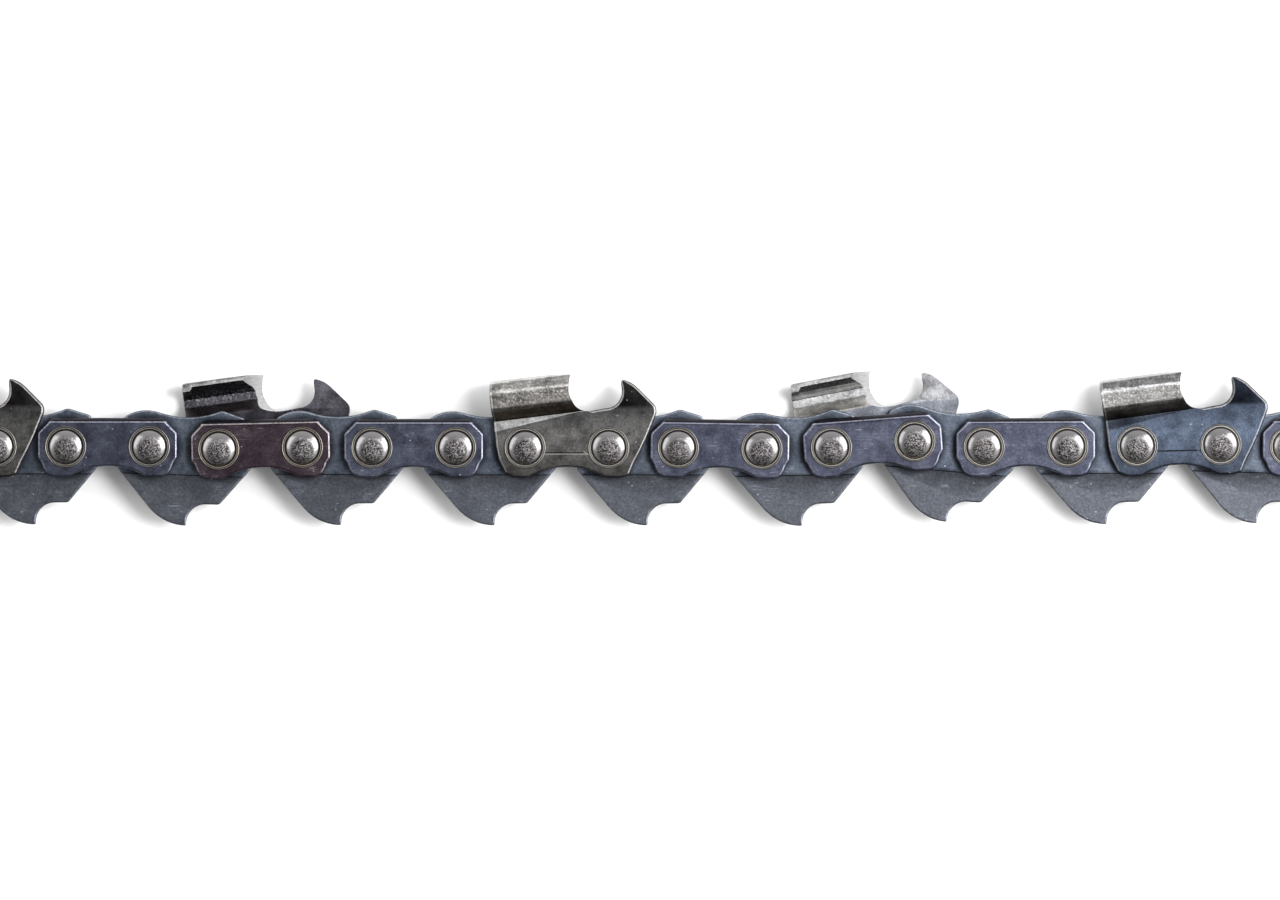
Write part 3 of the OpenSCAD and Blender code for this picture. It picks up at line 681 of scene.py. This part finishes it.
def cutter_surface():
    """The whole cutter as one closed skin: the bent tooth, and the flat plate below it whose edge starts and ends
    on the tooth's heel and front. The depth gauge leans in above its own bend. Besides a plate's three facts come
    bend_at, the place along the tooth's bend, and inside, which is 1 on the inner face."""
    inset, height = edge_profile(punched_round, burred_round, plate_t)
    outer, inner, front, heel, zone = tooth_surface(inset, height)
    line = cutter_outline(heel[0, 0, :2] - [inset[0], 0], front[0, 0, :2])
    rim = line[:, None] + inset[None, :, None] * (inward(line, closed=False) * room(line, inset[0])[:, None])[:, None]
    rim = np.dstack([rim, np.repeat((plate_in + height * plate_t)[None], len(line), 0)])
    run = np.concatenate([[0], np.cumsum(np.hypot(*np.diff(line, axis=0).T))])
    # Towards its two ends the punched edge takes on the shape of the tooth's heel and front.
    for column, ends, reach in ((0, heel[0], run), (-1, front[0], run[-1] - run)):
        rim = rim + np.exp(-(reach / 0.5) ** 2)[:, None, None] * (ends - rim[column])[None]
    shapes = [outer, inner, front, heel, rim]
    first = np.concatenate([[0], np.cumsum([s.shape[0] * s.shape[1] for s in shapes])])
    numbers = [np.arange(a, b).reshape(s.shape[:2]) for s, a, b in zip(shapes, first[:-1], first[1:])]
    points = np.vstack([s.reshape(-1, 3) for s in shapes])
    faces = [(quads(*s.shape[:2]) + a, 1 if s is front else 0) for s, a in zip(shapes, first)]
    bend_at = np.concatenate([np.repeat(zone, s.shape[1]) for s in shapes[:4]] + [np.zeros(rim[..., 0].size)])
    worn_and_highlit = np.concatenate([np.zeros(first[4]), rubbed_and_highlit(line, height, closed=False).T.ravel()])
    # The tooth's heel is painted as bright as the punched edge where they meet, partly wear and partly painted
    # highlight.
    worn_and_highlit[numbers[3]] = worn_and_highlit[numbers[4][0]]
    inside = np.concatenate([np.zeros(first[1]), np.ones(first[2] - first[1]), np.tile(height < 0.5, 2 * len(zone)),
                             np.tile(height < 0.5, len(line))])
    painted_shade, ring = np.zeros((2, len(points)))
    # Below its bright line the edge's rounding is painted dark, as painted shade.
    edge_shade = np.where(height > 0.8, 0.75 * np.clip((0.96 - height) / 0.03, 0, 1), 0)
    painted_shade[first[4]:] = np.tile(edge_shade, len(line))
    fronts = [np.concatenate([numbers[4][:, 0], numbers[0][0, -2:0:-1]])]
    backs = [np.concatenate([numbers[4][:, -1], numbers[1][0, -2:0:-1]])]
    for centre, profile in rivet_seats():
        wall = turned(profile[:, :2], bore_steps)
        wall[..., 2] = plate_in + wall[..., 2] * plate_t
        start = len(points)
        points = np.vstack([points, (wall + [*centre, 0]).reshape(-1, 3)])
        worn_and_highlit, painted_shade, ring = (np.append(a, np.repeat(profile[:, k], bore_steps))
                             for a, k in ((worn_and_highlit, 2), (painted_shade, 3), (ring, 4)))
        faces.append((quads(len(profile), bore_steps, ring=True) + start, 0))
        fronts.append(np.arange(bore_steps) + start)
        backs.append(np.arange(bore_steps) + start + (len(profile) - 1) * bore_steps)
    bend_at, inside = (np.append(a, np.zeros(len(points) - len(a))) for a in (bend_at, inside))
    for loops in (fronts, backs):
        lines = [level_line(loops[0], points, fold, True) for fold in gauge_folds]
        faces.append((filled(loops, points, lines), 0))
    free = np.concatenate([numbers[0][-1], numbers[2][-1][1:-1], numbers[1][-1][::-1], numbers[3][-1][::-1][1:-1]])
    faces.append((filled([free], points), 0))
    gauge = np.arange(len(points)) >= first[4]
    rise = points[:, 1] - gauge_folds[0]
    lean = gauge_lean * np.clip(rise / 0.4, 0, 1)
    points[:, 2] -= np.where(gauge & (rise > 0), np.clip(rise - 0.2, 0, None) * np.tan(lean), 0)
    return points, faces, {"worn_and_highlit": worn_and_highlit, "painted_shade": painted_shade, "ring": ring, "bend_at": bend_at, "inside": inside}


def plated_steel(name, plate, slope, flare, side, corner, top, inner, cove, ledge, under, flat, gauge,
                 rough=0.4, line="#8f8c88"):
    """Tempered steel under a thin hard grey plating: satin and finely grained along the side plate. The zones follow
    the bend, on the outside and inside, and their colours, set for each cutter, are mostly painted light and shade:
    the kink, the flare and the top plate's underside are painted dark as shade, the slope and the outer corner are
    painted bright as highlights, and the depth gauge is painted dark on near cutters and light on far ones. A
    fine service line and a tick are struck in the plate, and its grain is drawn at 0.3 mm so that it shows."""
    material, tree, shader, chain, own = finish(name)
    clouds_per_mm, grains_per_mm, specks_per_mm = 0.45, 3.4, 1.0
    cloud, grain = (
        add(tree, "ShaderNodeTexNoise", {"Vector": chain, "Scale": per_mm, "Detail": 5.0, "Roughness": jagged})
        for per_mm, jagged in ((clouds_per_mm, 0.65), (grains_per_mm, 0.75)))
    run = add(tree, "ShaderNodeMapping", {0: own, "Rotation": (0, 0, -relief), "Scale": (0.35, 4.0, 4.0)})
    drawn = add(tree, "ShaderNodeTexNoise", {"Vector": run, "Scale": 1.0, "Detail": 3.0})
    place = add(tree, "ShaderNodeSeparateXYZ", {0: own}).node.outputs
    bend, inside, worn_and_highlit, painted_shade, ring = (add(tree, "ShaderNodeAttribute", out="Fac", attribute_name=fact)
                                       for fact in ("bend_at", "inside", "worn_and_highlit", "painted_shade", "ring"))
    along = add(tree, "ShaderNodeMapRange", {0: bend, 1: 0.0, 2: 8.0})
    # The ramps paint each zone's light and shade: dark stops at the kink, the flare and under the top plate are
    # painted shade, and bright stops on the slope and the corners are painted highlights.
    outer_zones = add(tree, "ShaderNodeValToRGB", {0: along}, stops=[
        (0.0, plate), (0.13, slope), (1.0, top), (0.225, slope), (0.25, "#141210"), (0.28, flare), (0.44, flare),
        (0.5, side), (0.605, side), (0.62, corner), (0.63, corner), (0.645, top), (0.74, top), (0.755, corner)])
    inner_zones = add(tree, "ShaderNodeValToRGB", {0: along}, stops=[
        (0.0, flat), (0.3, flat), (1.0, corner), (0.36, cove), (0.46, cove), (0.52, inner), (0.62, inner),
        (0.635, "#1b1a1c"), (0.65, ledge), (0.785, ledge), (0.8, under), (0.965, under), (0.985, corner)])
    skin = add(tree, "ShaderNodeMix", {0: inside, 6: outer_zones, 7: inner_zones}, out=2, data_type="RGBA")
    # The depth gauge takes a colour of its own, painted shade on near cutters and painted light on far ones; it comes
    # in above the gauge's bend and fades towards its tip and its nose.
    gauge_light_share = add(tree, "ShaderNodeMapRange", {0: place["X"], 1: 2.9, 2: 3.5})
    for way, low, high, before, after in (("Y", 4.7, 5.3, 0.0, 1.0), ("Y", 5.3, 8.6, 1.0, 0.55),
                                          ("X", 8.2, 11.0, 1.0, 0.45)):
        share = add(tree, "ShaderNodeMapRange", {0: place[way], 1: low, 2: high, 3: before, 4: after})
        gauge_light_share = add(tree, "ShaderNodeMath", {0: gauge_light_share, 1: share}, operation="MULTIPLY")
    skin = add(tree, "ShaderNodeMix", {0: gauge_light_share, 6: skin, 7: linear(gauge)}, out=2, data_type="RGBA")
    # The plate is darker towards its foot, and its top under the slope is painted shade.
    low = add(tree, "ShaderNodeMapRange", {0: place["Y"], 1: -3.7, 2: 1.5, 3: 0.75, 4: 0.0})
    high = add(tree, "ShaderNodeMapRange", {0: place["Y"], 1: 1.6, 2: 4.6, 3: 0.0, 4: 0.6})
    away = add(tree, "ShaderNodeMath", {0: bend, 1: inside}, operation="ADD")
    on_plate = add(tree, "ShaderNodeMapRange", {0: away, 1: 0.2, 2: 0.8, 3: 1.0, 4: 0.0})
    high = add(tree, "ShaderNodeMath", {0: high, 1: on_plate}, operation="MULTIPLY")
    on_cutter = add(tree, "ShaderNodeMapRange", {0: bend, 1: 3.5, 2: 4.5, 3: 0.0, 4: 0.55})
    speck = add(tree, "ShaderNodeValToRGB", {0: grain}, stops=[(0.3, "#606060"), (0.5, "#c0c0c0"), (0.66, "#ffffff")])
    smear = add(tree, "ShaderNodeValToRGB", {0: cloud}, stops=[(0.36, "#7c7c7c"), (0.58, "#ffffff")])
    streak = add(tree, "ShaderNodeValToRGB", {0: drawn}, stops=[(0.35, "#a2a2a2"), (0.62, "#ffffff")])
    for share, over in ((0.65, speck), (0.7, smear), (on_cutter, streak), (low, linear("#8a8583")),
                        (high, linear("#7a7b80"))):
        skin = add(tree, "ShaderNodeMix", {0: share, 6: skin, 7: over}, out=2, data_type="RGBA", blend_type="MULTIPLY")
    layers = [(dusted(tree, chain, specks_per_mm, 0.5), "#c4c2be")]
    spark = add(tree, "ShaderNodeMapRange", {0: grain, 1: 0.52, 2: 0.62, 3: 0.0, 4: 0.5})
    layers.append((add(tree, "ShaderNodeMath", {0: spark, 1: on_cutter}, operation="MULTIPLY"), corner))
    # The service line, the dark groove above it and a slanting tick stand in the outer face between the rivets.
    on_face = add(tree, "ShaderNodeMath", {0: place["Z"], 1: plate_out, 2: 0.06}, operation="COMPARE")
    between = add(tree, "ShaderNodeMath", {0: place["X"], 1: -0.1, 2: 3.0}, operation="COMPARE")
    between = add(tree, "ShaderNodeMath", {0: on_face, 1: between}, operation="MULTIPLY")
    for height, wide, shade in ((-0.79, 0.04, line), (-0.67, 0.08, "#0d0c0b")):
        strip = add(tree, "ShaderNodeMath", {0: place["Y"], 1: height, 2: wide}, operation="COMPARE")
        layers.append((add(tree, "ShaderNodeMath", {0: between, 1: strip}, operation="MULTIPLY"), shade))
    slant = add(tree, "ShaderNodeVectorMath", {0: own, 1: (0.5, 0.866, 0.0)}, out="Value", operation="DOT_PRODUCT")
    strip = add(tree, "ShaderNodeMath", {0: slant, 1: 0.62, 2: 0.04}, operation="COMPARE")
    short = add(tree, "ShaderNodeMath", {0: place["X"], 1: 2.35, 2: 0.28}, operation="COMPARE")
    tick = add(tree, "ShaderNodeMath", {0: strip, 1: short}, operation="MULTIPLY")
    layers.append((add(tree, "ShaderNodeMath", {0: tick, 1: on_face}, operation="MULTIPLY"), line))
    # Edges are painted bright, partly as wear and partly as a painted highlight.
    share = add(tree, "ShaderNodeMapRange", {0: grain, 1: 0.33, 2: 0.52, 3: 0.15, 4: 0.55})
    layers.append((add(tree, "ShaderNodeMath", {0: worn_and_highlit, 1: share}, operation="MULTIPLY"), corner))
    # Last come painted shade on the edge's rounding and in the recesses, and a painted highlight round the recesses.
    for share, over in layers + [(painted_shade, "#121013"), (ring, "#bbb7ae")]:
        skin = add(tree, "ShaderNodeMix", {0: share, 6: skin, 7: linear(over)}, out=2, data_type="RGBA")
    rows = add(tree, "ShaderNodeMapRange", {0: bend, 1: 3.5, 2: 4.5, 3: 0.0, 4: 0.8})
    rows = add(tree, "ShaderNodeMath", {0: drawn, 1: rows, 2: grain}, operation="MULTIPLY_ADD")
    satin(tree, shader, skin, cloud, rough, rows, 0.6)
    return material


def ground_steel():
    """Bare steel fresh from the grinding wheel: pale and bright, with fine lines across the tooth"""
    material, tree, shader, _, own = finish("ground_steel")
    run = add(tree, "ShaderNodeMapping", {0: own, "Scale": (1.0, 9.0, 0.6)})
    lines = add(tree, "ShaderNodeTexNoise", {"Vector": run, "Scale": 1.6, "Detail": 3.0})
    skin = add(tree, "ShaderNodeValToRGB", {0: lines}, stops=[(0.3, "#939394"), (0.7, "#bdbcbe")])
    tree.links.new(skin, shader.inputs["Base Color"])
    shader.inputs["Roughness"].default_value = 0.3
    bump = add(tree, "ShaderNodeBump", {"Height": lines, "Strength": 0.3, "Distance": 0.02 * MM})
    tree.links.new(bump, shader.inputs["Normal"])
    return material


ground = ground_steel()
# Each cutter's zone colours are painted light and shade for its place; the near cutters' gauges are painted dark and
# the far ones' light.
grey_cutter = plated_steel("grey_plated_steel", plate="#666564", slope="#dededf", flare="#5b5246", side="#8a8783",
                           corner="#eae8e5", top="#c4c2bf", inner="#5b5a5f", cove="#332f31", ledge="#3a393c",
                           under="#141316", flat="#5b5a5f", gauge="#2b2928")
dark_cutter = plated_steel("dark_plated_steel", plate="#56555b", slope="#8f8f91", flare="#3a342d", side="#76757a",
                           corner="#d0cfd0", top="#8f8d8a", inner="#6c6a72", cove="#645d60", ledge="#58555b",
                           under="#131215", flat="#4c4a51", gauge="#898893")
blue_cutter = plated_steel("blued_plated_steel", plate="#535d6e", slope="#505866", flare="#5a5652", side="#93918f",
                           corner="#cfcfd0", top="#a2a1a2", inner="#4b5161", cove="#2c2d33", ledge="#33343c",
                           under="#141316", flat="#4b5161", gauge="#20242c", line="#39404e")
pale_cutter = plated_steel("pale_plated_steel", plate="#8c9098", slope="#bcbcbe", flare="#6b6660", side="#b4b4b6",
                           corner="#c4c4c5", top="#b9b9bb", inner="#cfcfd0", cove="#f0ece6", ledge="#f0f0f0",
                           under="#2b2a2c", flat="#888c95", gauge="#dcdcdf", rough=0.44)
cutters = {"right_cutter_01": grey_cutter, "left_cutter_03": dark_cutter, "right_cutter_05": grey_cutter,
           "left_cutter_07": pale_cutter, "right_cutter_09": blue_cutter}
cutter_points, cutter_faces, cutter_facts = cutter_surface()
for node, steel in cutters.items():
    n = int(node[-2:])
    side = 1 if node.startswith("right") else -1
    piece = steel_mesh(f"{node}_bent", cutter_points, lay(cutter_points, 2 * n - 1, side), cutter_faces,
                       [steel, ground], **cutter_facts)
    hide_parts(node)
    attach(piece, f"station_{n:02d}")

# The table under the chain: a matt white sheet that the chain's far cutters lie on. It is wide enough to run out
# of sight from every side.
table_z = cad_box[0].z
table_half = 3.0
white = bpy.data.materials.new("white_sheet")
white.use_nodes = True
tree = white.node_tree
paper = tree.nodes["Principled BSDF"]
paper.inputs["Base Color"].default_value = linear("#fcfcfc")
paper.inputs["Roughness"].default_value = 0.9
sheet = bpy.data.meshes.new("table")
corners = [(x * table_half, y * table_half, table_z) for x, y in ((-1, -1), (1, -1), (1, 1), (-1, 1))]
sheet.from_pydata(corners, [], [(0, 1, 2, 3)])
sheet.materials.append(white)
table = bpy.data.objects.new("table", sheet)
scene.collection.objects.link(table)

# The light: a studio with a white wall on the right, a duller one on the left, a ceiling that is bright towards the
# front, and a black flag that keeps the near side of every edge and dome dark. One softbox stands low at each side
# of the chain, and one high on the right, so that the steel brightens towards that end.
world = bpy.data.worlds.new("studio")
scene.world = world
world.use_nodes = True
tree = world.node_tree
ray = add(tree, "ShaderNodeSeparateXYZ", {0: add(tree, "ShaderNodeTexCoord", out="Generated")}).node.outputs
across = add(tree, "ShaderNodeMapRange", {0: ray["Y"], 1: -1.0, 2: 1.0})
ceiling = add(tree, "ShaderNodeValToRGB", {0: across}, stops=[
    (0.0, "#1c1512"), (0.2, "#2b211d"), (1.0, "#ffffff"), (0.29, "#f4f4f4"), (0.41, "#dcdcdc"), (0.5, "#b8b8b8"),
    (0.6, "#b0b0b0"), (0.72, "#cccccc")])
sideways = add(tree, "ShaderNodeMath", {0: ray["X"]}, operation="ABSOLUTE")
at_wall = add(tree, "ShaderNodeMapRange", {0: sideways, 1: 0.4, 2: 0.65})
walls = add(tree, "ShaderNodeValToRGB", {0: ray["X"]}, stops=[(0.0, "#c8c8c8"), (0.3, "#ffffff")])
studio = add(tree, "ShaderNodeMix", {0: at_wall, 6: ceiling, 7: walls}, out=2, data_type="RGBA")
tree.links.new(studio, tree.nodes["Background"].inputs["Color"])
middle = Vector(((cad_box[0].x + cad_box[1].x) / 2, 0.0, 0.0))
for name, place, size, power in (("left_softbox", (-0.5, 0.16, 0.4), (0.5, 0.36), 0.9),
                                 ("right_softbox", (0.5, 0.16, 0.4), (0.5, 0.36), 2.2),
                                 ("high_softbox", (0.25, 0.03, 0.5), (0.22, 0.22), 2.7)):
    lamp = bpy.data.lights.new(name, "AREA")
    lamp.shape, lamp.size, lamp.size_y = "RECTANGLE", *size
    lamp.energy = power
    light = bpy.data.objects.new(name, lamp)
    light.location = middle + Vector(place)
    light.rotation_euler = (middle - light.location).to_track_quat("-Z", "Y").to_euler()
    light.visible_camera = False
    scene.collection.objects.link(light)

# The camera: straight above the chain with a long lens, so that the plates' edges hardly show. The picture's width
# is measured at the plates' near faces.
picture_w = 0.15917
picture_middle = (0.09913, -0.00042)
distance = 1.6
camera = bpy.data.cameras.new("camera")
camera.sensor_width = 36.0
camera.lens = camera.sensor_width * (distance - plate_out * MM) / picture_w
camera.clip_end = 10.0
view = bpy.data.objects.new("camera", camera)
view.location = (*picture_middle, distance)
scene.collection.objects.link(view)
bpy.context.scene.camera = view
scene.view_settings.view_transform = "Standard"
